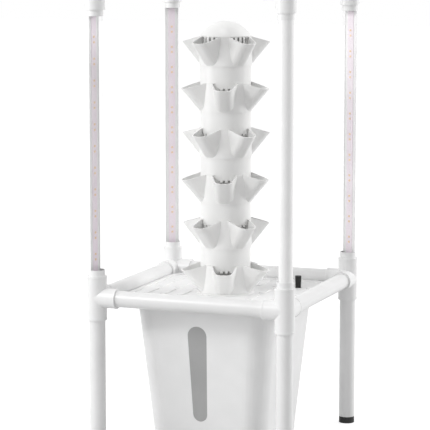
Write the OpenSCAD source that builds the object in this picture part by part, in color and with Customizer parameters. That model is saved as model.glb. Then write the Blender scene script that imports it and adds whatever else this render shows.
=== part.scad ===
/* [Frame pipes] */
// Outside diameter of the frame pipes
pipe_d = 32; // [26:1:36]
// Wall of the frame pipes
pipe_wall = 2.4; // [1.6:0.2:3.2]
// Distance between the centre lines of neighbouring posts
post_pitch = 386; // [382:1:410]
// Height of the lower rails' centre line above the floor
rail_z = 300; // [296:1:330]
// Distance between the lower and the upper rails
light_bay_h = 600; // [597:1:680]

/* [Pipe fittings] */
// Wall of a fitting outside its socket
fitting_wall = 3.2; // [2.4:0.2:4]
// Reach of a fitting's arm from the crossing of its centre lines
arm_reach = 43; // [40:1:48]
// Depth of a socket
socket_depth = 25; // [18:1:26]
// Width of the raised band round a socket's mouth
mouth_band_w = 4; // [2:0.5:6]
// Height of that band
mouth_band_h = 0.5; // [0.2:0.1:0.8]
// Clearance between a pipe and its socket, per side
socket_gap = 0.1; // [0.05:0.05:0.3]

/* [Feet] */
// Height of a rubber foot below its pipe
foot_h = 13; // [8:1:20]
// Length of a foot's plug inside the pipe
foot_plug_l = 16; // [8:1:24]
// How far a foot stays inside the pipe's outline, per side
foot_inset = 0.4; // [0:0.1:1]

/* [Grow lamps] */
// Outside diameter of a lamp tube
lamp_d = 30; // [26:1:31]
// Wall of a lamp tube
lamp_wall = 1.4; // [1:0.1:1.8]
// Length of an end cap that shows between the tube and the fitting
lamp_cap_l = 12; // [8:1:20]
// Depth that the tube goes into an end cap
lamp_seat = 9; // [5:1:12]
// Play between the upper end cap and the stop of its socket
lamp_end_gap = 0.3; // [0.2:0.1:0.6]
// Turn of the front left lamp away from facing the tower, in degrees
lamp_turn_fl = -60; // [-90:5:90]
// Turn of the front right lamp
lamp_turn_fr = 0; // [-90:5:90]
// Turn of the rear right lamp
lamp_turn_br = 25; // [-90:5:90]
// Turn of the rear left lamp
lamp_turn_bl = 0; // [-90:5:90]
// Width of the light board
board_w = 14.5; // [10:0.5:20]
// Thickness of the light board
board_t = 1.6; // [1:0.2:2.4]
// Distance of the light board behind the tube's axis
board_back = 3; // [0:0.5:5]
// Distance between two pairs of light chips
chip_pitch = 42; // [30:1:60]
// Distance between the two chips of a pair
chip_pair = 10.5; // [7:0.5:14]
// Edge of a light chip
chip_w = 3.5; // [2:0.5:5]
// Height of a light chip above its board
chip_h = 0.8; // [0.4:0.1:1.2]
// Length of bare board below the lowest chip
chip_margin = 20; // [10:1:40]
// Length of board at the upper end that carries the driver
driver_l = 50; // [30:1:80]

/* [Tank] */
// Half the width of the tank at its rim
tank_half = 145; // [130:1:150]
// Half the width of the tank at its floor
tank_foot_half = 116; // [100:1:125]
// Corner radius of the tank at its rim
tank_corner = 50; // [30:1:60]
// Wall of the tank
tank_wall = 2.6; // [2:0.2:4]
// Thickness of the tank's floor
tank_floor = 3; // [2:0.5:5]
// Thickness of the flange round the tank's rim
flange_t = 2.5; // [2:0.5:4]

/* [Level window] */
// Radius of the window's upper end
window_top_r = 19.5; // [14:0.5:24]
// Radius of the window's lower end
window_low_r = 14.5; // [10:0.5:20]
// Height of the window's lowest point above the floor
window_low_z = 54; // [40:1:80]
// Height of the window's highest point above the floor
window_high_z = 246; // [200:1:250]
// Offset of the window from the middle of the front
window_x = -6; // [-10:1:10]
// Clearance round the window
window_gap = 0.1; // [0.05:0.05:0.3]

/* [Lid] */
// How far the lid's top face lies below the rails' centre line
lid_drop = 8.5; // [8:0.5:12]
// Thickness of the lid
lid_t = 3; // [2:0.5:4]
// Gap between the lid's edge and the rails
lid_gap = 0.5; // [0.5:0.1:2]
// Corner radius of the lid
lid_corner = 50; // [46:1:70]
// Depth of the lid's skirt below its top face
skirt_h = 9; // [7:0.5:10]
// Thickness of the lid's skirt
skirt_t = 2.4; // [1.6:0.2:3]
// Width of the raised bead round the lid
bead_w = 9; // [6:0.5:12]
// Height of the bead above the lid
bead_h = 2.4; // [1:0.2:3]
// Length of a raised rib on the lid
rib_l = 62; // [40:1:66]
// Width of a raised rib
rib_w = 13; // [8:1:18]
// Height of a raised rib
rib_h = 1.6; // [0.8:0.2:2.4]
// Distance between neighbouring ribs across the lid
rib_pitch_x = 36; // [30:1:40]
// Distance between neighbouring rows of ribs
rib_pitch_y = 79; // [72:1:84]

/* [Hole plug] */
// Distance of the plug to the right of the tower's axis
plug_x = 119; // [110:1:125]
// Distance of the plug behind the tower's axis
plug_y = 98; // [90:1:110]
// Diameter of the plug at its top
plug_top_d = 12.8; // [10:0.2:16]
// Diameter of the plug where it meets the lid
plug_low_d = 11.4; // [10:0.2:16]
// Height of the plug above the lid
plug_h = 24; // [15:1:30]
// Diameter of the plug's stem
plug_stem_d = 9; // [6:0.5:10]
// Length of the plug's stem
plug_stem_l = 9; // [6:1:14]
// Clearance round the stem
plug_gap = 0.3; // [0.2:0.1:0.5]

/* [Tower tiers] */
// Rise from one tier to the next
tier_pitch = 90; // [86:1:100]
// Outside radius of a tier's body
tier_r = 52; // [50:0.5:56]
// Wall of the tier's body at its top
tier_wall = 1.7; // [1.6:0.1:2]
// Clearance between a neck and the body round it
neck_gap = 0.3; // [0.3:0.05:0.5]
// Wall of a neck
neck_wall = 2.5; // [2:0.1:3]
// Height of a tier's body above its step
tier_h = 58; // [54:1:62]
// Depth that a neck goes into the body below
neck_depth = 14; // [10:1:18]
// Height of the ledge that a neck stands on
ledge_t = 3; // [2:0.5:5]
// Width of that ledge
ledge_w = 4.3; // [3.5:0.1:5]
// Thickness of a tier's floor ring
tier_floor = 2.5; // [2:0.5:4]
// Number of notches round a neck
notch_count = 32; // [20:2:36]
// Width of a notch
notch_w = 4.4; // [3:0.2:5]
// Height of the notches in a neck
notch_h = 4; // [2:0.5:6]

/* [Planting pockets] */
// Pockets in a tier
pocket_count = 5; // [4:1:5]
// Distance from the tower's axis to a pocket's lip
pocket_reach = 90; // [84:1:94]
// Height of the lip above the tier's step
lip_z = 46; // [42:1:50]
// Height above the step where the pocket's keel leaves the body
keel_z = 2; // [1:0.5:6]
// Width of a pocket's nose
nose_w = 33; // [28:1:36]
// Width of a pocket where it leaves the body
mouth_w = 48; // [44:1:50]
// Corner radius of the nose
nose_r = 15.5; // [8:0.5:16]
// Wall of a pocket
pocket_wall = 2; // [1.6:0.1:2.4]

/* [Tower base and dome] */
// Outside radius of the base ring on the lid
base_r = 56.5; // [55:0.5:60]
// Thickness of the base ring under the lowest tier
base_t = 1.5; // [1.5:0.5:3]
// Height of the collar that holds the lowest tier
base_collar_h = 1.2; // [0.8:0.1:1.4]
// Depth of the base ring's spigot in the lid
base_spigot_l = 8; // [6:1:14]
// Clearance between the spigot and the lid
base_gap = 0.3; // [0.2:0.1:0.5]
// Height of the dome above its rim
dome_h = 28; // [20:1:34]
// How far the dome's rim stands out over its skirt
dome_rim = 1.6; // [1:0.1:2]
// Wall of the dome
dome_wall = 2; // [1.6:0.2:3]
// Height of the slots in the dome's skirt
dome_slot_h = 11; // [6:1:12]

/* [Water parts] */
// Outside radius of the riser tube
riser_r = 8; // [7:0.5:9]
// Wall of the riser tube
riser_wall = 1.5; // [1:0.1:2]
// Clearance between the riser and what guides it
riser_gap = 0.6; // [0.4:0.1:1]
// Width of a guide hub's wall, and of its spokes
hub_t = 3; // [2:0.5:4]
// Thickness of the distributor plate
plate_t = 2; // [1.5:0.5:3]
// Radius of the drip holes
drip_r = 1.6; // [1:0.1:2]
// Drip holes round the plate
drip_count = 24; // [16:4:28]
// Length of the pump's body
pump_l = 62; // [50:1:80]
// Width of the pump's body
pump_w = 46; // [40:1:60]
// Height of the pump's body
pump_h = 48; // [42:1:60]
// Height of the suction feet under the pump
pump_foot_h = 8; // [5:1:12]
// Radius of the impeller
impeller_r = 15; // [12:0.5:16]
// Clearance round the impeller
impeller_gap = 1; // [0.6:0.1:1.5]
// Radius of the impeller's shaft
shaft_r = 1.5; // [1:0.1:2]
// Running clearance between the impeller and its shaft
shaft_gap = 0.06; // [0.02:0.02:0.1]

/* [Hidden] */
$fn = 64;

white = "white";
rubber_black = [0.1, 0.1, 0.1];
clear_grey = [0.85, 0.87, 0.9, 0.4];
eps = 0.01;
// How far a cut runs past its face, and a joined form into its neighbour
over = 1;

pipe_r = pipe_d / 2;
bore_r = pipe_r - pipe_wall;
socket_r = pipe_r + socket_gap;
fitting_r = pipe_r + fitting_wall;
post_xy = post_pitch / 2;
top_z = rail_z + light_bay_h;
stop_reach = arm_reach - socket_depth;

lamp_r = lamp_d / 2;
lamp_low = rail_z + arm_reach + lamp_cap_l;
lamp_high = top_z - arm_reach - lamp_cap_l;
lamp_len = lamp_high - lamp_low;
lamp_split_gap = 0.1;
lamp_seat_gap = 0.1;
tube_low = lamp_low - lamp_seat;
tube_len = lamp_len + 2 * lamp_seat;
cap_stop_w = 2;
cap_bore_r = lamp_r - lamp_wall - cap_stop_w;
board_rail_w = 1.6;
chip_first = lamp_low + chip_margin;
chip_last = lamp_high - driver_l;

lid_top = rail_z - lid_drop;
rim_z = lid_top - lid_t;
lid_half = post_xy - pipe_r - lid_gap;
flange_gap = 1;
plug_boss_wall = 2;
plug_stem_out = 1;
flange_half = lid_half - skirt_t - flange_gap;
flange_corner = lid_corner - skirt_t - flange_gap;
tank_side_angle = atan((tank_half - tank_foot_half) / rim_z);

body_in_r = tier_r - tier_wall;
neck_r = body_in_r - neck_gap;
neck_in_r = neck_r - neck_wall;
neck_l = tier_pitch - tier_h + neck_depth;
ledge_z = tier_h - neck_depth;
first_step = lid_top + base_t;
spigot_r = neck_r + neck_gap + tier_wall;
lid_hole_r = spigot_r + base_gap;
hub_r = riser_r + riser_gap;
hub_out_r = hub_r + hub_t;

keel_tilt = atan((pocket_reach - tier_r) / (lip_z - keel_z));
flank_depth = 36;
flank_angle = atan((mouth_w - nose_w) / 2 / flank_depth);
trough_depth = 40;
trough_up = 15;
trough_down = (pocket_reach - tier_r) / sin(keel_tilt) + 2 * over;
trough_end = 4;
mouth_drop = (tier_h - lip_z) / (pocket_reach - tier_r);
guide_inset = 0.4;

plate_r = neck_r;
dome_step = ledge_z + plate_t;
dome_rim_lift = 1;
dome_rim_z = tier_h + dome_rim_lift;
dome_rim_r = neck_r + dome_rim;
dome_ball_r = (dome_rim_r * dome_rim_r + dome_h * dome_h) / (2 * dome_h);
tier_count = 6;
tier_1_step = first_step + (tier_count - 1) * tier_pitch;

pump_z = tank_floor + pump_foot_h;
pump_way_wall = 1.5;
pump_way_drop = 8;
pump_top = pump_z + pump_h;
spout_gap = 0.2;
spout_r = riser_r - riser_wall - spout_gap;
spout_l = 14;
riser_seat = 0.3;
riser_low = pump_top + riser_seat;
riser_end_gap = 4;
riser_high = tier_1_step + ledge_z - riser_end_gap;
impeller_z = pump_z + pump_h / 2;
impeller_l = 13;
chamber_l = 16;
chamber_end = -pump_l / 2 + chamber_l;
impeller_back = 1;
impeller_x = chamber_end - impeller_l - impeller_back;
shaft_seat = 8;

// Mirrors the front left corner's shape to one of the four corners
module at_corner(i) {
    mirror([i == 1 || i == 2 ? 1 : 0, 0, 0])
        mirror([0, i == 2 || i == 3 ? 1 : 0, 0])
            children();
}

// A tube that stands on its lower end
module tube(r_out, r_in, h) {
    difference() {
        cylinder(r = r_out, h = h);
        translate([0, 0, -over]) cylinder(r = r_in, h = h + 2 * over);
    }
}

// A square with round corners, centred on the origin
module round_square(half, r) {
    square([2 * half, 2 * (half - r)], center = true);
    square([2 * (half - r), 2 * half], center = true);
    for (x = [-1, 1], y = [-1, 1]) translate([x * (half - r), y * (half - r)]) circle(r = r);
}

// The corner points of the same square, for the tapered walls of the tank
corner_steps = 10;
function round_points(half, r) = [
    for (q = [0:3], k = [0:corner_steps])
        let (a = 90 * q + 90 * k / corner_steps,
             cx = (q == 0 || q == 3 ? 1 : -1) * (half - r),
             cy = (q < 2 ? 1 : -1) * (half - r))
        [cx + r * cos(a), cy + r * sin(a)]
];

// The tank's tapered form between two heights, drawn in by an inset
module tank_form(inset, z_low, z_high) {
    spread = (tank_half - tank_foot_half) / rim_z;
    low = tank_foot_half - inset + spread * z_low;
    high = tank_foot_half - inset + spread * z_high;
    r_low = (tank_corner - inset) * low / (tank_half - inset);
    translate([0, 0, z_low])
        linear_extrude(z_high - z_low, scale = high / low)
            polygon(round_points(low, r_low));
}

// Frame
module leg() {
    color(white)
        translate([-post_xy, -post_xy, foot_h])
            tube(pipe_r, bore_r, rail_z - stop_reach - foot_h);
}

module foot() {
    color(rubber_black) translate([-post_xy, -post_xy, 0]) {
        cylinder(r = pipe_r - foot_inset, h = foot_h);
        cylinder(r = bore_r - socket_gap, h = foot_h + foot_plug_l);
    }
}

// The outside of one arm, with the band round its mouth
module arm_form() {
    cylinder(r = fitting_r, h = arm_reach);
    translate([0, 0, arm_reach - mouth_band_w])
        cylinder(r = fitting_r + mouth_band_h, h = mouth_band_w);
}

// The socket and the wire way inside one arm
module arm_bore() {
    translate([0, 0, stop_reach]) cylinder(r = socket_r, h = socket_depth + over);
    cylinder(r = bore_r, h = arm_reach);
}

// A fitting whose arms point along the turns in a list
module fitting(turns) {
    difference() {
        union() {
            sphere(r = fitting_r);
            for (t = turns) rotate(t) arm_form();
        }
        for (t = turns) rotate(t) arm_bore();
    }
}

arm_up = [0, 0, 0];
arm_down = [180, 0, 0];
arm_in_x = [0, 90, 0];
arm_in_y = [-90, 0, 0];

module corner() {
    color(white)
        translate([-post_xy, -post_xy, rail_z])
            fitting([arm_up, arm_down, arm_in_x, arm_in_y]);
}

module top_corner() {
    color(white)
        translate([-post_xy, -post_xy, top_z])
            fitting([arm_down, arm_in_x, arm_in_y]);
}

// A rail on one side of the frame, front first and then anticlockwise
module rail(side, z) {
    color(white)
        rotate([0, 0, 90 * side])
            translate([-post_xy + stop_reach, -post_xy, z])
                rotate([0, 90, 0])
                    tube(pipe_r, bore_r, post_pitch - 2 * stop_reach);
}

// Lamps, drawn on their own axis with the light along +X
module at_lamp(turn) {
    translate([-post_xy, -post_xy, 0]) rotate([0, 0, 45 + turn]) children();
}

module lamp_caps(turn) {
    cap_l = lamp_cap_l + socket_depth;
    color(white) at_lamp(turn) difference() {
        union() {
            translate([0, 0, rail_z + stop_reach]) tube(pipe_r, cap_bore_r, cap_l);
            translate([0, 0, lamp_high]) tube(pipe_r, cap_bore_r, cap_l - lamp_end_gap);
        }
        translate([0, 0, tube_low]) cylinder(r = lamp_r + lamp_seat_gap, h = tube_len);
    }
}

// One half of the lamp tube, on the side of the light or behind it
module lamp_shell(side) {
    cut_x = side > 0 ? -board_back : -board_back - lamp_split_gap - 2 * lamp_r;
    intersection() {
        translate([0, 0, tube_low]) tube(lamp_r, lamp_r - lamp_wall, tube_len);
        translate([cut_x, -lamp_r - over, tube_low - over])
            cube([2 * lamp_r, 2 * (lamp_r + over), tube_len + 2 * over]);
    }
}

module lamp_cover(turn) {
    color(clear_grey) at_lamp(turn) lamp_shell(1);
}

// The white back has two inner rails that carry the light board
module lamp_back(turn) {
    rail_y = board_w / 2 - board_rail_w;
    rail_x = sqrt(pow(lamp_r - lamp_wall / 2, 2) - pow(rail_y, 2));
    color(white) at_lamp(turn) {
        lamp_shell(-1);
        for (y = [-rail_y, rail_y])
            translate([-rail_x, y - board_rail_w / 2, tube_low])
                cube([rail_x - board_back - board_t, board_rail_w, tube_len]);
    }
}

module light_board(turn) {
    color([0.96, 0.9, 0.92]) at_lamp(turn) {
        translate([-board_back - board_t, -board_w / 2, tube_low]) cube([board_t, board_w, tube_len]);
        for (z = [chip_first:chip_pitch:chip_last], k = [0, 1])
            translate([-board_back - eps, -chip_w / 2, z + k * chip_pair - chip_w / 2])
                cube([chip_h, chip_w, chip_w]);
    }
}

// Tank
module tank() {
    color(white) difference() {
        union() {
            tank_form(0, 0, rim_z - flange_t / 2);
            translate([0, 0, rim_z - flange_t])
                linear_extrude(flange_t) round_square(flange_half, flange_corner);
        }
        tank_form(tank_wall, tank_floor, rim_z + over);
        on_front() linear_extrude(4 * tank_wall, center = true) window_outline(window_gap);
    }
}

// Places a flat outline on the leaning front wall, drawn upwards from the floor
module on_front() {
    translate([window_x, -tank_foot_half, 0]) rotate([90 + tank_side_angle, 0, 0]) children();
}

// A round lower end, a wider round upper end and straight flanks, as one outline
window_steps = 20;
function arc_points(y, r, from, sweep) = [
    for (k = [0:window_steps])
        let (a = from + sweep * k / window_steps)
        [r * cos(a), y + r * sin(a)]
];

module window_outline(grow) {
    r_low = window_low_r + grow;
    r_top = window_top_r + grow;
    y_low = window_low_z / cos(tank_side_angle) + window_low_r;
    y_top = window_high_z / cos(tank_side_angle) - window_top_r;
    lean = asin((r_top - r_low) / (y_top - y_low));
    polygon(concat(
        arc_points(y_low, r_low, 180 + lean, 180 - 2 * lean),
        arc_points(y_top, r_top, -lean, 180 + 2 * lean)
    ));
}

module level_window() {
    color([0.65, 0.65, 0.65, 0.8]) on_front()
        translate([0, 0, -tank_wall]) linear_extrude(tank_wall) window_outline(0);
}

// Lid
rib_columns = floor((lid_half - bead_w - rib_w) / rib_pitch_x);
rib_clear = 3;
rib_keep_r = base_r + rib_w / 2 + rib_clear;
rib_rows = 2;

// A rib is left out where the tower or the plug stands
function rib_fits(x, y) =
    let (dy = max(abs(y) - (rib_l - rib_w) / 2, 0),
         py = max(abs(y - plug_y) - (rib_l - rib_w) / 2, 0))
    norm([x, dy]) > rib_keep_r
    && norm([x - plug_x, py]) > plug_top_d + rib_w / 2
    && norm([max(abs(x) - lid_half + lid_corner, 0),
             max(abs(y) + rib_l / 2 - lid_half + lid_corner, 0)]) < lid_corner - bead_w;

module rib() {
    linear_extrude(rib_h) {
        square([rib_w, rib_l - rib_w], center = true);
        for (y = [-1, 1]) translate([0, y * (rib_l - rib_w) / 2]) circle(d = rib_w);
    }
}

module lid() {
    color(white) difference() {
        union() {
            translate([0, 0, rim_z]) linear_extrude(lid_t) round_square(lid_half, lid_corner);
            translate([0, 0, lid_top - skirt_h]) lid_ring(skirt_h, skirt_t);
            translate([0, 0, rim_z]) lid_ring(lid_t + bead_h, bead_w);
            for (i = [-rib_columns:rib_columns], j = [-rib_rows:rib_rows - 1])
                if (rib_fits(i * rib_pitch_x, (j + 0.5) * rib_pitch_y))
                    translate([i * rib_pitch_x, (j + 0.5) * rib_pitch_y, lid_top - eps]) rib();
            translate([plug_x, plug_y, lid_top - plug_stem_l])
                cylinder(r = plug_stem_d / 2 + plug_gap + plug_boss_wall, h = plug_stem_l);
        }
        translate([0, 0, lid_top - 2 * skirt_h]) cylinder(r = lid_hole_r, h = 3 * skirt_h);
        translate([plug_x, plug_y, lid_top - 2 * plug_stem_l])
            cylinder(r = plug_stem_d / 2 + plug_gap, h = 3 * plug_stem_l);
    }
}

module lid_ring(h, w) {
    linear_extrude(h) difference() {
        round_square(lid_half, lid_corner);
        round_square(lid_half - w, lid_corner - w);
    }
}

module hole_plug() {
    color(rubber_black) translate([plug_x, plug_y, lid_top]) {
        cylinder(r1 = plug_low_d / 2, r2 = plug_top_d / 2, h = plug_h);
        translate([0, 0, -plug_stem_l - plug_stem_out])
            cylinder(r = plug_stem_d / 2, h = plug_stem_l + plug_stem_out + over);
    }
}

// Tower
module tower_base() {
    in_r = neck_r + neck_gap;
    collar_r = tier_r + neck_gap;
    collar_t = 1.2;
    color(white) translate([0, 0, lid_top]) rotate_extrude()
        polygon([
            [in_r, -base_spigot_l], [spigot_r, -base_spigot_l], [spigot_r, 0], [base_r, 0],
            [base_r, base_t], [collar_r + collar_t, base_t + base_collar_h],
            [collar_r, base_t + base_collar_h], [collar_r, base_t], [in_r, base_t]
        ]);
}

// The plan of a pocket, square to its keel, with the nose on the right
nose_steps = 5;
module trough_plan(inset) {
    r = nose_r - inset;
    half = nose_w / 2 - inset / cos(flank_angle);
    t = inset + r;
    y = half + t * tan(flank_angle) - r / cos(flank_angle);
    back = half + trough_depth * tan(flank_angle);
    turn = 90 - flank_angle;
    corner = [
        for (k = [0:nose_steps])
            let (g = turn * (1 - k / nose_steps))
            [r * cos(g) - t, r * sin(g) + y]
    ];
    polygon(concat(
        [[-trough_depth, back]], corner,
        [for (k = [0:nose_steps]) [corner[nose_steps - k][0], -corner[nose_steps - k][1]]],
        [[-trough_depth, -back]]
    ));
}

// The pocket's solid along its keel, outside a given radius of the tower
module trough(inset, keep_r) {
    difference() {
        translate([pocket_reach, 0, lip_z]) rotate([0, keel_tilt, 0])
            translate([0, 0, inset > 0 ? trough_end - trough_down : -trough_down])
                linear_extrude(trough_down + trough_up) trough_plan(inset);
        cylinder(r = keep_r, h = 4 * tier_h, center = true);
    }
}

module at_pockets(turn) {
    for (k = [0:pocket_count - 1]) rotate([0, 0, turn + 360 * k / pocket_count]) children();
}

// Everything above the falling edge of the pockets' mouths
module above_mouths() {
    far = 2 * pocket_reach;
    near = tier_r - tier_wall / 2;
    rotate_extrude()
        polygon([
            [0, tier_h], [near, tier_h], [far, tier_h - (far - near) * mouth_drop],
            [far, far], [0, far]
        ]);
}

// Notches cut upwards from a neck's lower edge
module notches(h) {
    for (k = [0:notch_count - 1]) rotate([0, 0, 360 * (k + 0.5) / notch_count])
        translate([neck_in_r - over, -notch_w / 2, -over])
            cube([neck_wall + 2 * over, notch_w, h + over]);
}

// Neck, floor ring, body wall and ledge, turned as one profile
module tier_wall_form() {
    ledge_r = body_in_r - ledge_w;
    ledge_low = ledge_z - ledge_t;
    ledge_slope = 1;
    rotate_extrude() polygon([
        [neck_in_r, -neck_l], [neck_r, -neck_l], [neck_r, 0], [tier_r, 0],
        [tier_r, tier_h + over], [body_in_r, tier_h + over], [body_in_r, ledge_z],
        [ledge_r, ledge_z], [ledge_r, ledge_low + ledge_slope], [body_in_r, ledge_low - ledge_slope],
        [body_in_r, tier_floor], [neck_in_r, tier_floor]
    ]);
}

// The hub that keeps the riser in the middle, on spokes below the webs
module riser_guide(turn) {
    guide_h = tier_floor - 2 * guide_inset;
    spoke_root = 0.5;
    translate([0, 0, guide_inset]) {
        tube(hub_out_r, hub_r, guide_h);
        at_pockets(turn + 180 / pocket_count)
            translate([hub_out_r - spoke_root, -hub_t / 2, 0])
                cube([neck_in_r + neck_wall / 2 - hub_out_r, hub_t, guide_h]);
    }
}

// One tier, counted from the top, with its step at the height of its own origin
module tier(index) {
    turn = index % 2 == 1 ? 180 / pocket_count : 0;
    color(white) translate([0, 0, first_step + (tier_count - index) * tier_pitch]) {
        difference() {
            union() {
                tier_wall_form();
                at_pockets(turn) trough(0, tier_r - tier_wall / 2);
            }
            above_mouths();
            at_pockets(turn) trough(pocket_wall, body_in_r - ledge_w - over);
            translate([0, 0, -neck_l]) notches(notch_h);
        }
        riser_guide(turn);
    }
}

// The plate that spreads the water to the wall under the dome
module distributor() {
    boss_l = 12;
    boss_roof = 1;
    weir_gap = 2;
    weir_t = 2;
    weir_h = 3;
    feed_count = 6;
    color(white) translate([0, 0, tier_1_step + ledge_z]) difference() {
        union() {
            cylinder(r = plate_r, h = plate_t);
            translate([0, 0, -boss_l]) cylinder(r = hub_out_r, h = boss_l + over);
            tube(hub_out_r + weir_gap + weir_t, hub_out_r + weir_gap, plate_t + weir_h);
        }
        translate([0, 0, -boss_l - over]) cylinder(r = hub_r, h = boss_l + over - boss_roof);
        for (k = [0:feed_count - 1]) rotate([0, 0, 360 * k / feed_count])
            translate([hub_r / 2, 0, -boss_roof - over])
                cylinder(r = drip_r, h = boss_roof + plate_t + 2 * over);
        for (k = [0:drip_count - 1]) rotate([0, 0, 360 * k / drip_count])
            translate([plate_r - neck_wall - 3 * drip_r, 0, -over])
                cylinder(r = drip_r, h = plate_t + 2 * over);
    }
}

module dome_cap() {
    skirt_in = neck_r - neck_wall;
    rim_drop = 1;
    rim_h = 1.6;
    color(white) translate([0, 0, tier_1_step]) {
        intersection() {
            translate([0, 0, dome_rim_z + dome_h - dome_ball_r]) difference() {
                sphere(r = dome_ball_r);
                sphere(r = dome_ball_r - dome_wall);
            }
            translate([0, 0, dome_rim_z]) cylinder(r = 2 * tier_r, h = 2 * dome_h);
        }
        translate([0, 0, dome_rim_z - rim_drop]) tube(dome_rim_r, skirt_in, rim_h);
        translate([0, 0, dome_step]) difference() {
            tube(neck_r, skirt_in, dome_rim_z - dome_step - rim_drop / 2);
            notches(dome_slot_h);
        }
    }
}

// Water parts
module riser_tube() {
    color([0.9, 0.9, 0.9])
        translate([0, 0, riser_low])
            tube(riser_r, riser_r - riser_wall, riser_high - riser_low);
}

module pump_body() {
    way_r = spout_r - pump_way_wall;
    way_z = pump_top - pump_way_drop;
    way_x = impeller_x + impeller_l / 2;
    color([0.15, 0.15, 0.16]) difference() {
        union() {
            translate([-pump_l / 2, -pump_w / 2, pump_z]) cube([pump_l, pump_w, pump_h]);
            translate([0, 0, pump_top - over]) cylinder(r = spout_r, h = spout_l + over);
        }
        translate([-pump_l / 2 - over, 0, impeller_z]) rotate([0, 90, 0])
            cylinder(r = impeller_r + impeller_gap, h = chamber_l + over);
        translate([chamber_end - over, 0, impeller_z]) rotate([0, 90, 0])
            cylinder(r = shaft_r + shaft_gap, h = shaft_seat + over);
        translate([way_x, 0, impeller_z]) cylinder(r = way_r, h = way_z - impeller_z + way_r);
        translate([way_x, 0, way_z]) rotate([0, 90, 0]) cylinder(r = way_r, h = -way_x);
        translate([0, 0, way_z]) cylinder(r = way_r, h = pump_h);
    }
}

module pump_strainer() {
    cover_t = 8;
    cover_wall = 2;
    cover_gap = 0.1;
    cover_w = pump_w - 2 * cover_wall;
    cover_h = pump_h - 2 * cover_wall;
    slot_h = 2.4;
    slot_pitch = 5;
    slot_edge = 6;
    slots = floor((cover_h - 2 * slot_edge) / slot_pitch);
    color([0.15, 0.15, 0.16])
        translate([-pump_l / 2 - cover_t - cover_gap, -cover_w / 2, pump_z + cover_wall]) difference() {
            cube([cover_t, cover_w, cover_h]);
            translate([cover_wall, cover_wall, cover_wall])
                cube([cover_t, cover_w - 2 * cover_wall, cover_h - 2 * cover_wall]);
            for (k = [0:slots])
                translate([-over, slot_edge, slot_edge + slot_pitch * k])
                    cube([2 * cover_wall, cover_w - 2 * slot_edge, slot_h]);
        }
}

module pump_feet() {
    cup_r = 9;
    stem_r = 5;
    cup_edge = 1;
    inset = cup_r + cup_edge;
    color([0.2, 0.2, 0.2])
        for (x = [-1, 1], y = [-1, 1])
            translate([x * (pump_l / 2 - inset), y * (pump_w / 2 - inset), tank_floor])
                cylinder(r1 = cup_r, r2 = stem_r, h = pump_foot_h);
}

module impeller() {
    blade_count = 6;
    blade_t = 1.6;
    blade_h = 9;
    blade_root = 0.5;
    hub_out = 5;
    color(white) translate([impeller_x, 0, impeller_z]) rotate([0, 90, 0]) difference() {
        union() {
            cylinder(r = hub_out, h = impeller_l);
            for (k = [0:blade_count - 1]) rotate([0, 0, 360 * k / blade_count])
                translate([hub_out - over, -blade_t / 2, 0])
                    cube([impeller_r - hub_out, blade_t, blade_h + blade_root]);
            translate([0, 0, blade_h]) cylinder(r = impeller_r, h = blade_t);
        }
        translate([0, 0, -over]) cylinder(r = shaft_r + shaft_gap, h = impeller_l + 2 * over);
    }
}

module impeller_shaft() {
    end_inset = 0.5;
    color("silver") translate([-pump_l / 2 + end_inset, 0, impeller_z]) rotate([0, 90, 0])
        cylinder(r = shaft_r, h = chamber_l + shaft_seat - 2 * end_inset);
}

at_corner(0) leg();  // leg_fl
at_corner(1) leg();  // leg_fr
at_corner(2) leg();  // leg_br
at_corner(3) leg();  // leg_bl
at_corner(0) foot();  // foot_fl
at_corner(1) foot();  // foot_fr
at_corner(2) foot();  // foot_br
at_corner(3) foot();  // foot_bl
at_corner(0) corner();  // corner_fl
at_corner(1) corner();  // corner_fr
at_corner(2) corner();  // corner_br
at_corner(3) corner();  // corner_bl
rail(0, rail_z);  // rail_front
rail(1, rail_z);  // rail_right
rail(2, rail_z);  // rail_back
rail(3, rail_z);  // rail_left
at_corner(0) top_corner();  // top_corner_fl
at_corner(1) top_corner();  // top_corner_fr
at_corner(2) top_corner();  // top_corner_br
at_corner(3) top_corner();  // top_corner_bl
rail(0, top_z);  // top_rail_front
rail(1, top_z);  // top_rail_right
rail(2, top_z);  // top_rail_back
rail(3, top_z);  // top_rail_left
at_corner(0) lamp_caps(lamp_turn_fl);  // lamp_caps_fl
at_corner(1) lamp_caps(lamp_turn_fr);  // lamp_caps_fr
at_corner(2) lamp_caps(lamp_turn_br);  // lamp_caps_br
at_corner(3) lamp_caps(lamp_turn_bl);  // lamp_caps_bl
at_corner(0) lamp_back(lamp_turn_fl);  // lamp_back_fl
at_corner(1) lamp_back(lamp_turn_fr);  // lamp_back_fr
at_corner(2) lamp_back(lamp_turn_br);  // lamp_back_br
at_corner(3) lamp_back(lamp_turn_bl);  // lamp_back_bl
at_corner(0) lamp_cover(lamp_turn_fl);  // lamp_cover_fl
at_corner(1) lamp_cover(lamp_turn_fr);  // lamp_cover_fr
at_corner(2) lamp_cover(lamp_turn_br);  // lamp_cover_br
at_corner(3) lamp_cover(lamp_turn_bl);  // lamp_cover_bl
at_corner(0) light_board(lamp_turn_fl);  // light_board_fl
at_corner(1) light_board(lamp_turn_fr);  // light_board_fr
at_corner(2) light_board(lamp_turn_br);  // light_board_br
at_corner(3) light_board(lamp_turn_bl);  // light_board_bl
tank();
level_window();
lid();
hole_plug();
tower_base();
tier(1);  // tier_1
tier(2);  // tier_2
tier(3);  // tier_3
tier(4);  // tier_4
tier(5);  // tier_5
tier(6);  // tier_6
distributor();
dome_cap();
riser_tube();
pump_body();
pump_strainer();
pump_feet();
impeller();
impeller_shaft();
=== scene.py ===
# %% [markdown]
# # A hydroponic tower, dressed for a studio picture
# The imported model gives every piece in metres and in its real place, so nothing
# is fitted here by hand. This lesson gives the pieces their finish, adds the
# white ledges inside the lamps, and sets up a floor, plain light and a camera.

# %% Load the model and note its size
import math

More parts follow.
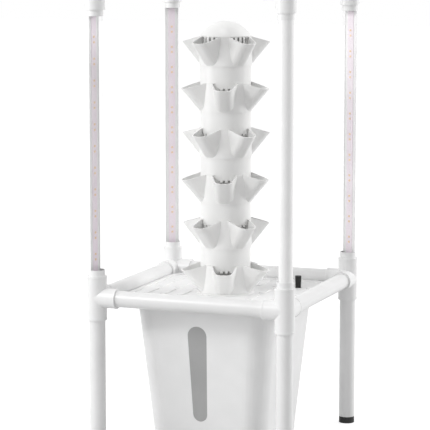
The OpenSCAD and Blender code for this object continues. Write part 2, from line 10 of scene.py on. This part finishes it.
import bmesh
import bpy
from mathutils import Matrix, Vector


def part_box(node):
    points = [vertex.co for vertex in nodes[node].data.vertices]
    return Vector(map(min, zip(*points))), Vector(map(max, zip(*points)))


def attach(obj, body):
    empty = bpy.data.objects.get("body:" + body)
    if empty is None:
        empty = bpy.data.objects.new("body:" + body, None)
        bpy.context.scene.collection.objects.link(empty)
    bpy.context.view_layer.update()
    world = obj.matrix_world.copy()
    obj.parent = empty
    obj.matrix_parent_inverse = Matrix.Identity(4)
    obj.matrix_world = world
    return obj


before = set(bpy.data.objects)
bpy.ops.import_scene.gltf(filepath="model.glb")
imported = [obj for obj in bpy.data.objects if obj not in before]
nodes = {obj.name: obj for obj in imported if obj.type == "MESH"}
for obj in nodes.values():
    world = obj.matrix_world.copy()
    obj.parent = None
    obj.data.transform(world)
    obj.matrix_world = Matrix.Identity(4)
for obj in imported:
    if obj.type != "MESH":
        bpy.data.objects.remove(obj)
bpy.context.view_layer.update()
MM = 0.001

# %% [markdown]
# ## Colours
# A colour picker shows sRGB values, but a shader works in linear light. The
# numbers could be typed in already turned to linear. A hex value is easier to
# read and to change, so one function turns it, by the curve of the sRGB standard.

# %% Turn an sRGB hex value to linear light
SRGB_KNEE = 0.04045
SRGB_SLOPE = 12.92
SRGB_OFFSET = 0.055
SRGB_POWER = 2.4


def linear(hex_value):
    channels = [int(hex_value[i:i + 2], 16) / 255 for i in (1, 3, 5)]
    lin = [c / SRGB_SLOPE if c <= SRGB_KNEE else ((c + SRGB_OFFSET) / (1 + SRGB_OFFSET)) ** SRGB_POWER
           for c in channels]
    return (*lin, 1.0)


print("mid grey is", [round(c, 3) for c in linear("#808080")])

# %% [markdown]
# ## Building a material from nodes
# Each finish is a small network of nodes. It could be clicked together in the
# shader editor, but then it couldn't be made again by a script. One function
# adds any node, sets it and links it, so that each line below is one node.

# %% Add a node with its settings, values and links


def add(tree, kind, links=None, settings=None, **values):
    node = tree.nodes.new("ShaderNode" + kind)
    for name, value in (settings or {}).items():
        setattr(node, name, value)
    for name, value in values.items():
        node.inputs[name.replace("_", " ")].default_value = value
    for name, source in (links or {}).items():
        tree.links.new(source, node.inputs[name])
    return node


print("made the helper", add.__name__)

# %% [markdown]
# ## The start of every material
# A pattern needs to know where it is on the piece. It could use an unwrapped
# map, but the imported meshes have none. Object coordinates are in metres here,
# so a pattern gets its real size with no unwrapping, and moves with its piece.

# %% Start a material with object coordinates and a Principled shader


def start_material(name, **shader_values):
    mat = bpy.data.materials.new(name)
    mat.use_nodes = True
    tree = mat.node_tree
    tree.nodes.clear()
    place = add(tree, "TexCoord").outputs["Object"]
    shader = add(tree, "BsdfPrincipled", **shader_values)
    out = add(tree, "OutputMaterial", links={"Surface": shader.outputs["BSDF"]})
    out.is_active_output = True
    return mat, tree, place, shader


print("made the helper", start_material.__name__)

# %% [markdown]
# ## Moulded and extruded plastic
# Nearly all of the tower is plastic that was moulded or extruded. Its colour
# drifts a little over some centimetres, where the melt cooled faster or slower,
# and its skin has a fine orange peel that breaks up the highlights.
#
# One plain colour would look like a drawing. A photograph of plastic would slide
# and repeat. Two noise patterns do it: a wide one for the tone and a fine one
# for the gloss and the bump. The real peel is about half a millimetre wide, and
# a pixel of the picture is 2 mm, so it is drawn about twice as coarse.

# %% Sizes of the patterns on plastic
PLASTIC_IOR = 1.5
DRIFT_MM = 60
DRIFT_DETAIL = 3.0
DRIFT_DARK_AT = 0.3
DRIFT_LIGHT_AT = 0.7
PEEL_DETAIL = 4.0
PEEL_STRENGTH = 0.5
GLOSS_SPREAD = 0.05
EVEN = (1.0, 1.0, 1.0)
print("the tone drifts over", DRIFT_MM, "mm")

# %% A plastic with a tone drift, an orange peel and an uneven gloss


def moulded_plastic(name, light, dark, roughness, grain_mm, depth_mm, stretch=EVEN):
    mat, tree, place, shader = start_material(name, IOR=PLASTIC_IOR)
    along = add(tree, "Mapping", links={"Vector": place}, Scale=stretch).outputs["Vector"]
    drift = add(tree, "TexNoise", links={"Vector": place}, Scale=1 / (DRIFT_MM * MM), Detail=DRIFT_DETAIL)
    tone = add(tree, "ValToRGB", links={"Fac": drift.outputs["Fac"]})
    dark_end, light_end = tone.color_ramp.elements
    dark_end.position = DRIFT_DARK_AT
    light_end.position = DRIFT_LIGHT_AT
    dark_end.color = linear(dark)
    light_end.color = linear(light)
    tree.links.new(tone.outputs["Color"], shader.inputs["Base Color"])
    peel = add(tree, "TexNoise", links={"Vector": along}, Scale=1 / (grain_mm * MM), Detail=PEEL_DETAIL)
    gloss = add(tree, "MapRange", links={"Value": peel.outputs["Fac"]},
                To_Min=roughness - GLOSS_SPREAD, To_Max=roughness + GLOSS_SPREAD)
    tree.links.new(gloss.outputs["Result"], shader.inputs["Roughness"])
    bump = add(tree, "Bump", links={"Height": peel.outputs["Fac"]},
               Distance=depth_mm * MM, Strength=PEEL_STRENGTH)
    tree.links.new(bump.outputs["Normal"], shader.inputs["Normal"])
    return mat


print("made the helper", moulded_plastic.__name__)

# %% [markdown]
# ## The tower, from its base ring to its dome
# The tiers are injection moulded in ABS, white with a satin skin. They could be
# one material with the tank, but the tank is a softer plastic with a duller
# skin, and beside each other the two look different. The dome faces the light
# and is the whitest piece, so it gets a lighter copy of the same ABS: painted light.

# %% ABS of the tiers and the dome
# Moulded ABS: an even white, a trace warm, with soft broad highlights.
tower_abs = moulded_plastic("tower_abs", "#F0F0EF", "#EBEBEA", roughness=0.34, grain_mm=1.2, depth_mm=0.02)
# The same ABS painted a lighter white: painted light for the light that the dome faces, so that it stands
# out against the tiers.
dome_abs_painted_light = moulded_plastic("dome_abs_painted_light", "#FBFBFA", "#F7F7F6", roughness=0.34, grain_mm=1.2, depth_mm=0.02)
print("made", tower_abs.name, "and", dome_abs_painted_light.name)

# %% [markdown]
# ## The tank and its lid
# Both are moulded polypropylene, which feels a little waxy. The lid's mould was
# left matt, as the broad soft light on its ribs shows. Subsurface light could
# give the wax, but on white walls this thick it only costs time, so the two
# differ in gloss and in the depth of their peel.

# %% Polypropylene of the tank and the lid
# Moulded polypropylene: a neutral white that shines less than the tower.
tank_pp = moulded_plastic("tank_polypropylene", "#F1F1F1", "#ECECEC",
                          roughness=0.40, grain_mm=1.4, depth_mm=0.03)
# The same with a matt texture from the mould: no clear highlight at all.
lid_pp = moulded_plastic("lid_polypropylene", "#F4F4F4", "#F0F0F0",
                         roughness=0.52, grain_mm=0.8, depth_mm=0.05)
print("made", tank_pp.name, "and", lid_pp.name)

# %% [markdown]
# ## The pipe frame
# The legs and rails are extruded PVC pipe, and the fittings are moulded PVC. An
# extrusion has fine die lines along its length. They could be cut into the mesh,
# at a great many faces. Stretching the noise along the pipe gives them for
# nothing, so each direction of pipe has its own material. Real die lines are
# about a tenth of a millimetre apart and are drawn ten times as coarse.

# %% Three directions of die lines
DIE_STRETCH = 0.04
ALONG_X = (DIE_STRETCH, 1.0, 1.0)
ALONG_Y = (1.0, DIE_STRETCH, 1.0)
ALONG_Z = (1.0, 1.0, DIE_STRETCH)
print("die lines are", round(1 / DIE_STRETCH), "times as long as they are wide")

# %% PVC of the fittings and the pipes
# Moulded PVC: white with a tight bright highlight on every bead.
fitting_pvc = moulded_plastic("fitting_pvc", "#F0F0F0", "#EBEBEB",
                              roughness=0.32, grain_mm=1.0, depth_mm=0.02)
# Extruded PVC: a shade greyer than the fittings, with a long streak of light.
upright_pvc = moulded_plastic("upright_pvc", "#EDEDED", "#E8E8E8",
                              roughness=0.30, grain_mm=1.0, depth_mm=0.01, stretch=ALONG_Z)
# The same pipe lying from left to right, painted a shade darker than the legs: painted shade, so that its
# top, lit from above, doesn't burn out.
rail_x_pvc_painted_shade = moulded_plastic("rail_x_pvc_painted_shade", "#EBEBEB", "#E6E6E6",
                             roughness=0.30, grain_mm=1.0, depth_mm=0.01, stretch=ALONG_X)
# The same pipe lying from front to back, with the same painted shade.
rail_y_pvc_painted_shade = moulded_plastic("rail_y_pvc_painted_shade", "#EBEBEB", "#E6E6E6",
                             roughness=0.30, grain_mm=1.0, depth_mm=0.01, stretch=ALONG_Y)
print("made", fitting_pvc.name, upright_pvc.name, rail_x_pvc_painted_shade.name, rail_y_pvc_painted_shade.name)

# %% [markdown]
# ## The lamp's opaque back and the riser
# The back half of each lamp tube is extruded white polycarbonate, and the riser
# in the tower is a plain polyethylene tube. They could be left as smooth as
# glass, since little of them shows. Both are extruded like the pipes, so the same
# function makes them at no extra cost, with lines that run upward.

# %% Polycarbonate of the lamp backs, polyethylene of the riser
# Extruded white polycarbonate: the glossiest white on the object.
lamp_back_pc = moulded_plastic("lamp_back_polycarbonate", "#FAFAFA", "#F5F5F5",
                               roughness=0.28, grain_mm=1.0, depth_mm=0.01, stretch=ALONG_Z)
# Natural polyethylene: milky, a little grey, with a dull waxy shine.
riser_pe = moulded_plastic("riser_polyethylene", "#E0E0DE", "#D8D8D6",
                           roughness=0.45, grain_mm=1.0, depth_mm=0.02, stretch=ALONG_Z)
print("made", lamp_back_pc.name, "and", riser_pe.name)

# %% [markdown]
# ## Rubber feet, the plug and the pump
# The feet and the plug are moulded rubber and the pump is black ABS. Plain black
# would swallow every edge, because nothing real is quite black. A dark grey with
# a high roughness keeps their shape readable, and a deeper bump than that of the
# white plastics gives the slightly grainy skin of rubber.

# %% Rubber
# Moulded rubber: nearly black and matt, with a greyish bloom.
foot_rubber = moulded_plastic("foot_rubber", "#2A2A2A", "#1E1E1E",
                              roughness=0.72, grain_mm=0.9, depth_mm=0.06)
# A harder rubber: blacker and a little smoother, with a faint rim of light.
plug_rubber = moulded_plastic("plug_rubber", "#222222", "#171717",
                              roughness=0.60, grain_mm=0.8, depth_mm=0.05)
# Soft rubber of the suction feet: a lighter, dusty grey with a faint shine.
cup_rubber = moulded_plastic("suction_foot_rubber", "#3A3A3A", "#2E2E2E",
                             roughness=0.66, grain_mm=0.9, depth_mm=0.05)
print("made", foot_rubber.name, plug_rubber.name, cup_rubber.name)

# %% Plastics of the pump
# Textured black ABS: a cool charcoal with a blurred sheen.
pump_abs = moulded_plastic("pump_abs", "#2B2B2D", "#222224", roughness=0.48, grain_mm=0.7, depth_mm=0.05)
# Moulded acetal: a greyish white with a slippery, fairly bright skin.
impeller_pom = moulded_plastic("impeller_acetal", "#E4E4E2", "#DCDCDA",
                               roughness=0.35, grain_mm=0.9, depth_mm=0.02)
print("made", pump_abs.name, "and", impeller_pom.name)

# %% [markdown]
# ## The level window
# It is a strip of frosted polypropylene in the tank's front wall, and it looks
# grey because little light comes back from inside. It could be truly
# translucent, but the model's tank is empty and white, so it would glow. A grey
# body colour, painted shade for the dark inside, under a frosted skin gives what the eye sees from every
# side.

# %% Frosted polypropylene
# Frosted polypropylene with painted shade: a soft mid grey that stands for the dark inside of the tank, with
# no sharp reflection.
window_pp_painted_shade = moulded_plastic("window_frosted_painted_shade", "#A9A9A9", "#A2A2A2",
                            roughness=0.50, grain_mm=0.8, depth_mm=0.03)
print("made", window_pp_painted_shade.name)

# %% [markdown]
# ## The clear half of the lamp tube
# It is a thin shell of clear extruded polycarbonate. Seen face on, one looks
# through it. At its edges one looks along the wall, and it turns milky. Real
# refraction would show this, but it darkens what is inside and needs many
# samples. So the shell is nearly see-through, and its cover grows steeply
# towards the edges. Its streaks are drawn 1.5 mm wide, which is coarser than the
# real ones, so that they show at all.

# %% Gloss and streaks of the clear tube
TUBE_IOR = 1.58
STREAK_MM = 1.5
STREAK_DETAIL = 3.0
TUBE_SMOOTHEST = 0.10
TUBE_DULLEST = 0.22
# Clear polycarbonate: a crisp shine broken by faint long streaks.
tube_pc, tube_tree, tube_place, tube_shader = start_material("tube_polycarbonate", IOR=TUBE_IOR)
tube_shader.inputs["Base Color"].default_value = linear("#FAFAFB")
streak_place = add(tube_tree, "Mapping", links={"Vector": tube_place}, Scale=ALONG_Z).outputs["Vector"]
streaks = add(tube_tree, "TexNoise", links={"Vector": streak_place},
              Scale=1 / (STREAK_MM * MM), Detail=STREAK_DETAIL)
tube_gloss = add(tube_tree, "MapRange", links={"Value": streaks.outputs["Fac"]},
                 To_Min=TUBE_SMOOTHEST, To_Max=TUBE_DULLEST)
tube_tree.links.new(tube_gloss.outputs["Result"], tube_shader.inputs["Roughness"])
print("made", tube_pc.name, "with streaks", STREAK_MM, "mm wide")

# %% How much the clear tube covers, face on and at its edges
EDGE_BLEND = 0.35
EDGE_POWER = 3.0
COVER_FACE_ON = 0.02
COVER_AT_EDGE = 0.36
edge = add(tube_tree, "LayerWeight", Blend=EDGE_BLEND)
steep_edge = add(tube_tree, "Math", links={0: edge.outputs["Facing"]}, settings={"operation": "POWER"})
steep_edge.inputs[1].default_value = EDGE_POWER
cover = add(tube_tree, "MapRange", links={"Value": steep_edge.outputs["Value"]},
            To_Min=COVER_FACE_ON, To_Max=COVER_AT_EDGE)
tube_tree.links.new(cover.outputs["Result"], tube_shader.inputs["Alpha"])
print("cover from", COVER_FACE_ON, "to", COVER_AT_EDGE)

# %% [markdown]
# ## The light boards and their chips
# Each lamp holds a long circuit board with a white solder mask, a trace pink,
# that carries pairs of light chips under drops of phosphor. The lamps are off in
# the picture, so nothing here gives light. A glow could make the boards as pale
# as in the picture, but it would show wherever the object is used. Both finishes
# have a smooth cured skin, so the recipe for plastic fits them.

# %% Solder mask and phosphor
# Solder mask lacquer: an even white with a cool pink tint and a soft shine.
board_fr4 = moulded_plastic("board_solder_mask", "#FFF6FC", "#FAEEF7",
                            roughness=0.45, grain_mm=0.9, depth_mm=0.02)
# Phosphor in silicone: pale apricot, because the layer over the chip is thin.
chip_phosphor = moulded_plastic("chip_phosphor", "#FFE3BC", "#FAD8AC",
                                roughness=0.40, grain_mm=0.8, depth_mm=0.03)
print("made", board_fr4.name, "and", chip_phosphor.name)

# %% [markdown]
# ## The impeller's shaft
# It is a pin of ground stainless steel that lies level in the pump. A clean
# mirror would look like a computer picture. Grinding leaves fine marks, drawn
# here as noise stretched along the pin. Real ones are a few hundredths of a
# millimetre wide and are drawn at 0.6 mm.

# %% Ground steel
MARK_MM = 0.6
MARK_STRETCH = 0.05
MARK_DETAIL = 3.0
STEEL_SMOOTHEST = 0.2
STEEL_DULLEST = 0.36
# Ground stainless steel: bright, neutral, with long blurred reflections.
shaft_steel, steel_tree, steel_place, steel_shader = start_material("shaft_ground_steel", Metallic=1.0)
mark_place = add(steel_tree, "Mapping", links={"Vector": steel_place}, Scale=(MARK_STRETCH, 1.0, 1.0))
marks = add(steel_tree, "TexNoise", links={"Vector": mark_place.outputs["Vector"]},
            Scale=1 / (MARK_MM * MM), Detail=MARK_DETAIL)
steel_gloss = add(steel_tree, "MapRange", links={"Value": marks.outputs["Fac"]},
                  To_Min=STEEL_SMOOTHEST, To_Max=STEEL_DULLEST)
steel_tree.links.new(steel_gloss.outputs["Result"], steel_shader.inputs["Roughness"])
steel_shader.inputs["Base Color"].default_value = linear("#C6C6C8")
print("made", shaft_steel.name)

# %% [markdown]
# ## Give every piece its finish
# Each of the 59 pieces could be dressed by its own line. The name of a piece
# already says what it is, so a short table does it: the first entry that a name
# starts with chooses the finish. The shaft comes before the impeller, because
# its name starts with the same word.

# %% Which finish goes with which name
FINISHES = [
    ("leg_", upright_pvc), ("rail_front", rail_x_pvc_painted_shade), ("rail_back", rail_x_pvc_painted_shade),
    ("rail_right", rail_y_pvc_painted_shade), ("rail_left", rail_y_pvc_painted_shade),
    ("top_rail_front", rail_x_pvc_painted_shade), ("top_rail_back", rail_x_pvc_painted_shade),
    ("top_rail_right", rail_y_pvc_painted_shade), ("top_rail_left", rail_y_pvc_painted_shade),
    ("corner_", fitting_pvc), ("top_corner_", fitting_pvc), ("lamp_caps_", fitting_pvc),
    ("foot_", foot_rubber), ("lamp_back_", lamp_back_pc), ("lamp_cover_", tube_pc),
    ("light_board_", board_fr4), ("tank", tank_pp), ("level_window", window_pp_painted_shade),
    ("lid", lid_pp), ("hole_plug", plug_rubber), ("tower_base", tower_abs),
    ("tier_", tower_abs), ("distributor", tower_abs), ("dome_cap", dome_abs_painted_light),
    ("riser_tube", riser_pe), ("pump_body", pump_abs), ("pump_strainer", pump_abs),
    ("pump_feet", cup_rubber), ("impeller_shaft", shaft_steel), ("impeller", impeller_pom),
]
for name, piece in nodes.items():
    finish = next(mat for start, mat in FINISHES if name.startswith(start))
    piece.data.materials.clear()
    piece.data.materials.append(finish)
print("dressed", len(nodes), "pieces")

# %% [markdown]
# ## Smooth shading by angle
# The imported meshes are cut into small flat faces. More faces would hide that,
# but a CAD mesh isn't changed here. Shading does it instead: faces that meet at
# less than 30 degrees belong to one curve and blend, and the others stay crisp.

# %% Shade by angle
CREASE = math.radians(30)
for piece in nodes.values():
    piece.data.shade_smooth()
    piece.data.set_sharp_from_angle(angle=CREASE)
print("shaded", len(nodes), "pieces smooth below", round(math.degrees(CREASE)), "degrees")

# %% [markdown]
# ## Where each lamp is and which way it faces
# A lamp tube stands on each post of the frame and is turned in its fittings so
# that its board faces the tower, more or less. The boards' directions could be
# read from their meshes. They are four plain numbers of the design, so a table
# of headings is clearer: degrees from the x axis, counter-clockwise from above.

# %% The post of a lamp and its forward and sideways directions
POST_XY = 193 * MM
LAMP_HEADINGS = {"fl": -15, "fr": 135, "br": -110, "bl": -45}


def lamp_axes(corner):
    side_x = -1 if corner[1] == "l" else 1
    side_y = -1 if corner[0] == "f" else 1
    heading = math.radians(LAMP_HEADINGS[corner])
    post = Vector((side_x * POST_XY, side_y * POST_XY, 0))
    forward = Vector((math.cos(heading), math.sin(heading), 0))
    across = Vector((-forward.y, forward.x, 0))
    return post, forward, across


for corner in LAMP_HEADINGS:
    print("lamp", corner, "faces", [round(v, 2) for v in lamp_axes(corner)[1]])

# %% [markdown]
# ## Colour the chips
# The chips are real blocks on the board and part of its mesh. A pattern could
# paint them, but it would have to hit their places exactly. Their faces stick
# out in front of the board, so each face is tested for that and gets the
# phosphor if it does.

# %% Give the faces of the chips their own material
BOARD_FACE = -3 * MM
CHIP_START = 0.1 * MM


def colour_chips(corner):
    post, forward, _ = lamp_axes(corner)
    board = nodes["light_board_" + corner].data
    board.materials.append(chip_phosphor)
    chips = [face for face in board.polygons
             if (face.center - post).dot(forward) > BOARD_FACE + CHIP_START]
    for face in chips:
        face.material_index = 1
    return len(chips)


for corner in LAMP_HEADINGS:
    print("chip faces on board", corner, colour_chips(corner))

# %% [markdown]
# ## The ledges beside the light boards
# In a real lamp tube the board lies on the flat face of a white inner profile,
# which fills the tube from wall to wall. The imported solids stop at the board's
# edges. Two thin strips on each lamp, one on either side, show that face. A
# single plane would do for this picture, but the strips have a thickness, so
# they are closed meshes and look right from the side too.

# %% Finish and outline of a ledge, seen along the tube
LEDGE_T = 0.8 * MM
LEDGE_GAP = 0.1 * MM
TUBE_IN_R = 13.6 * MM
BOARD_T = 1.6 * MM
BOARD_HALF = 7.25 * MM
# Extruded white polycarbonate, duller than the tube's back: a clean matt white.
ledge_pc = moulded_plastic("ledge_polycarbonate", "#FCFCFC", "#F8F8F8",
                           roughness=0.40, grain_mm=0.9, depth_mm=0.02, stretch=ALONG_Z)
ledge_back = BOARD_FACE - BOARD_T
ledge_front = ledge_back + LEDGE_T
ledge_inner = BOARD_HALF + LEDGE_GAP
ledge_outer = math.sqrt(TUBE_IN_R ** 2 - ledge_back ** 2) - LEDGE_GAP
LEDGE_OUTLINE = ((ledge_back, ledge_inner), (ledge_front, ledge_inner),
                 (ledge_front, ledge_outer), (ledge_back, ledge_outer))
print("ledge", round((ledge_outer - ledge_inner) / MM, 2), "mm wide")

# %% Raise an outline to a closed strip


def raise_strip(form, outline, low_z, high_z):
    edges = [[form.verts.new((at.x, at.y, z)) for z in (low_z, high_z)] for at in outline]
    for this, following in zip(edges, edges[1:] + edges[:1]):
        form.faces.new((this[0], following[0], following[1], this[1]))
    form.faces.new([low for low, high in edges])
    form.faces.new([high for low, high in edges])


print("made the helper", raise_strip.__name__)

# %% The two strips of one lamp, as long as its board


def ledge_mesh(corner):
    post, forward, across = lamp_axes(corner)
    low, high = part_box("light_board_" + corner)
    form = bmesh.new()
    for side in (-1, 1):
        outline = [post + forward * x + across * (side * y) for x, y in LEDGE_OUTLINE]
        raise_strip(form, outline, low[2], high[2])
    bmesh.ops.recalc_face_normals(form, faces=form.faces)
    mesh = bpy.data.meshes.new("board_ledges_" + corner)
    form.to_mesh(mesh)
    form.free()
    mesh.materials.append(ledge_pc)
    return mesh


for corner in LAMP_HEADINGS:
    piece = bpy.data.objects.new("board_ledges_" + corner, ledge_mesh(corner))
    bpy.context.scene.collection.objects.link(piece)
    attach(piece, "lamp_" + corner)
    print(piece.name, len(piece.data.polygons), "faces")

# %% [markdown]
# ## The floor
# The real picture was taken on white, where the object's soft shadow is all that
# shows of the floor. A huge disc or a curved backdrop would do as well. A plain
# wide sheet of pale paper is the simplest that keeps the shadow and bounces some
# light up. It lies half a millimetre low, so that it never fights with the feet.

# %% A wide sheet of paper
FLOOR_SIZE = 30.0
FLOOR_DROP = 0.5 * MM
PAPER_ROUGHNESS = 0.9
bpy.ops.mesh.primitive_plane_add(size=FLOOR_SIZE, location=(0, 0, -FLOOR_DROP))
floor = bpy.context.object
floor.name = "floor"
# Matt paper: a light grey by itself, that spreads light with no highlight.
floor_mat, floor_tree, _, floor_shader = start_material("floor_paper", Roughness=PAPER_ROUGHNESS)
floor_shader.inputs["Base Color"].default_value = linear("#BEBEBE")
floor.data.materials.append(floor_mat)
print("floor", FLOOR_SIZE, "m wide")

# %% [markdown]
# ## A white background that lights nothing
# Enough lamp light to make the floor white would burn out the white object. So
# the floor and the world are made whiter only for the rays that look at them:
# from the camera, off a gloss or through something clear. One factor is 1 for
# these and 0 for the rays that carry light to the object.

# %% The factor, and the lift it gives the floor


def backdrop_rays(tree):
    rays = add(tree, "LightPath")
    seen = add(tree, "Math", links={0: rays.outputs["Is Camera Ray"], 1: rays.outputs["Is Glossy Ray"]},
               settings={"operation": "MAXIMUM"})
    return add(tree, "Math", links={0: seen.outputs["Value"], 1: rays.outputs["Is Transmission Ray"]},
               settings={"operation": "MAXIMUM"}).outputs["Value"]


WHITE = linear("#FFFFFF")
PAPER_LIFT = 0.70
floor_shader.inputs["Emission Color"].default_value = WHITE
lift = add(floor_tree, "MapRange", links={"Value": backdrop_rays(floor_tree)}, To_Min=0.0, To_Max=PAPER_LIFT)
floor_tree.links.new(lift.outputs["Result"], floor_shader.inputs["Emission Strength"])
print("floor lifted by", PAPER_LIFT, "for the rays that see it")

# %% [markdown]
# ## The world
# A studio with white walls lights an object a little from everywhere. Walls
# could be built, but the world does the same at no cost: white where it is
# looked at, and a plain grey light where it falls on the object.

# %% White to look at, grey as a light
WORLD_LIGHT = 0.59
WORLD_SEEN = 1.0
world = bpy.data.worlds.new("studio")
bpy.context.scene.world = world
world.use_nodes = True
sky = world.node_tree
sky.nodes.clear()
level = add(sky, "MapRange", links={"Value": backdrop_rays(sky)}, To_Min=WORLD_LIGHT, To_Max=WORLD_SEEN)
backdrop = add(sky, "Background", links={"Strength": level.outputs["Result"]}, Color=WHITE)
add(sky, "OutputWorld", links={"Surface": backdrop.outputs["Background"]})
print("world light", WORLD_LIGHT)

# %% [markdown]
# ## Four soft lamps
# In the picture the left of each pipe is light, with a grey band right of its
# middle, and the shadows are soft. Sun lamps would give hard shadows and a ring
# of small ones a spotty gloss. Large square lamps give one broad highlight each:
# one on either side, a smaller one above the left front, and one overhead. Their
# powers are as low as they need to be for the whites not to burn out.

# %% Place the lamps, all aimed at the middle of the tower
AIM = Vector((0, 0, 0.45))


def soft_lamp(name, place, side, power):
    data = bpy.data.lights.new(name, "AREA")
    data.shape = "SQUARE"
    data.size = side
    data.energy = power
    lamp = bpy.data.objects.new(name, data)
    bpy.context.scene.collection.objects.link(lamp)
    lamp.location = place
    lamp.rotation_euler = (AIM - Vector(place)).to_track_quat("-Z", "Y").to_euler()
    print(name, power, "W,", side, "m wide")


soft_lamp("side_light_left", place=(-3.43, -2.06, 1.0), side=1.4, power=46)
soft_lamp("side_light_right", place=(3.11, 2.52, 1.6), side=1.2, power=80)
soft_lamp("key_above_left", place=(-1.6, -2.6, 2.4), side=0.9, power=38)
soft_lamp("top_light", place=(-0.6, -0.5, 6.0), side=1.6, power=44)

# %% [markdown]
# ## The camera
# The picture was taken with a long lens from the front right, a little above the
# tower. Its place, turn and focal length could be tried by eye. They were solved
# from about 45 edges of the pipes and the tank, measured in pixels. The tilt and
# a small shift of the lens then frame the object, and leave it whole when the
# camera is moved to other sides.

# %% Camera and view
FRAME_PX = 430
FOCAL_PX = 2122.8
SENSOR_MM = 36.0
SHIFT_X = -0.0144
SHIFT_Y = -0.04
CAMERA_PLACE = (1.494, -3.8903, 1.0395)
LEVEL = 90
TILT_DOWN = 7.64
TURN = 21.13
camera_data = bpy.data.cameras.new("camera")
camera_data.sensor_width = SENSOR_MM
camera_data.lens = FOCAL_PX / FRAME_PX * SENSOR_MM
camera_data.shift_x = SHIFT_X
camera_data.shift_y = SHIFT_Y
camera = bpy.data.objects.new("camera", camera_data)
bpy.context.scene.collection.objects.link(camera)
camera.location = CAMERA_PLACE
camera.rotation_euler = (math.radians(LEVEL - TILT_DOWN), 0, math.radians(TURN))
bpy.context.scene.camera = camera
bpy.context.scene.view_settings.view_transform = "Standard"
print("lens", round(camera_data.lens, 1), "mm")
